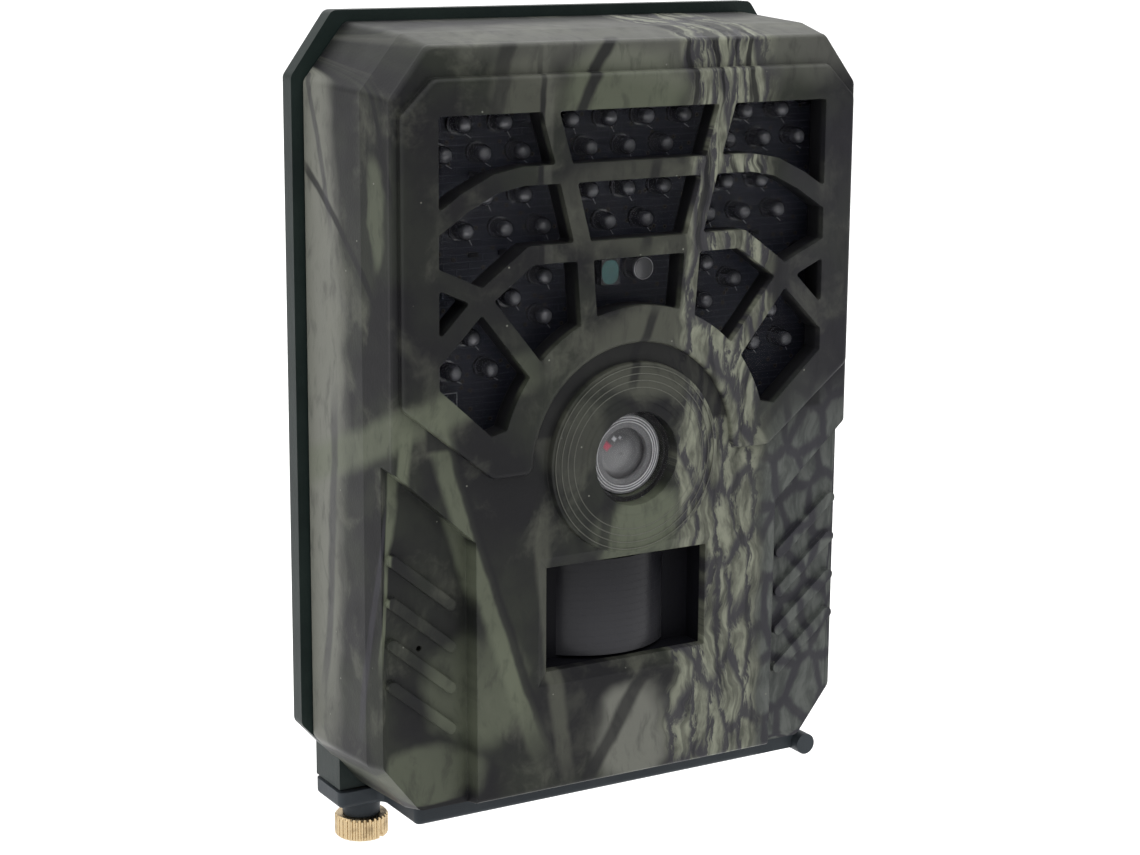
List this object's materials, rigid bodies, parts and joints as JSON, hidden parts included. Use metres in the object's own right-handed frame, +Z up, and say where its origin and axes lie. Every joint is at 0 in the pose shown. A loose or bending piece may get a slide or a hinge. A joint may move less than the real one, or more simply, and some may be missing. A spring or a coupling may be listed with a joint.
{
  "type": "trail camera",
  "caption": "Camouflaged trail camera with a branch grille over its lights, a round lens boss, a motion sensor window, a hinged bottom door with a thumb screw, and strap rails at the back.",
  "frame": {"origin": "centre of the tripod socket's mouth in the rear face", "axes": "+Z up, the lens looks along -Y, +X is to the right of someone who faces the camera's front"},
  "size_m": [0.0958, 0.0494, 0.1406],
  "materials": {
    "camouflage": "matte moulded plastic with a camouflage film",
    "cover_plastic": "matte dark green-grey plastic",
    "door_plastic": "matte dark slate plastic",
    "seal_rubber": "matte",
    "screw_steel": "satin",
    "brass": "bright turned",
    "smoked_window": "polished",
    "board": "dark solder mask",
    "led_epoxy": "clear grey epoxy",
    "led_clear": "polished",
    "chip_black": "moulded",
    "sensor_teal": "satin",
    "lens_glass": "polished and coated",
    "barrel_black": "black moulded",
    "filter_glass": "polished",
    "copper": "enamelled wire",
    "sensor_glass": "polished",
    "pir_plastic": "dark translucent polyethylene",
    "can_metal": "satin",
    "shield_metal": "plated",
    "card_black": "printed",
    "cell_sleeve": "printed sleeve"
  },
  "bodies": {
    "camera": {"front_housing": "camouflage", "rear_cover": "cover_plastic", "housing_seal": "seal_rubber", "cover_screws": "screw_steel", "tripod_insert": "brass", "ir_window": "smoked_window", "led_board": "board", "ir_leds": "led_epoxy", "led_resistors": "chip_black", "light_sensor": "sensor_teal", "status_led": "led_clear", "led_board_screws": "screw_steel", "lens_window": "lens_glass", "lens_gasket": "seal_rubber", "lens_barrel": "barrel_black", "lens_retainer": "barrel_black", "lens_front_element": "lens_glass", "lens_rear_element": "lens_glass", "lens_holder": "barrel_black", "filter_coil": "copper", "image_sensor": "sensor_glass", "pir_lens": "pir_plastic", "pir_frame": "barrel_black", "pir_sensor": "can_metal", "pir_filter": "filter_glass", "main_board": "board", "main_board_screws": "screw_steel", "processor": "chip_black", "memory_chip": "chip_black", "board_capacitors": "can_metal", "power_coils": "chip_black", "board_header": "barrel_black", "microphone": "can_metal", "usb_port": "shield_metal", "card_slot": "shield_metal", "port_board": "board", "dc_jack": "barrel_black", "mode_switch": "shield_metal", "battery_tray": "barrel_black", "battery_cell_1": "cell_sleeve", "battery_cell_2": "cell_sleeve", "battery_cell_3": "cell_sleeve", "contact_springs": "shield_metal", "contact_plates": "shield_metal", "door_hinge_pin": "screw_steel", "threaded_insert": "brass"},
    "door": {"service_door": "door_plastic", "door_seal": "seal_rubber"},
    "screw": {"thumb_screw": "brass", "retaining_clip": "screw_steel"},
    "filter": {"ir_cut_filter": "filter_glass"},
    "card": {"memory_card": "card_black"},
    "slider": {"switch_slider": "barrel_black"}
  },
  "joints": [
    {"name": "door_hinge", "type": "hinge", "parent": "camera", "child": "door", "pos_m": [0.0433, -0.019, -0.0668], "axis": [0, -1, 0], "range_deg": [0, 110]},
    {"name": "thumb_screw_turn", "type": "hinge", "parent": "door", "child": "screw", "pos_m": [-0.0369, -0.0118, -0.072], "axis": [0, 0, 1], "range_deg": [0, 1080]},
    {"name": "filter_slide", "type": "slide", "parent": "camera", "child": "filter", "axis": [1, 0, 0], "range_m": [0, 0.0036]},
    {"name": "card_slide", "type": "slide", "parent": "camera", "child": "card", "axis": [0, 0, -1], "range_m": [0, 0.0024]},
    {"name": "mode_slide", "type": "slide", "parent": "camera", "child": "slider", "axis": [1, 0, 0], "range_m": [-0.002, 0.002]}
  ]
}
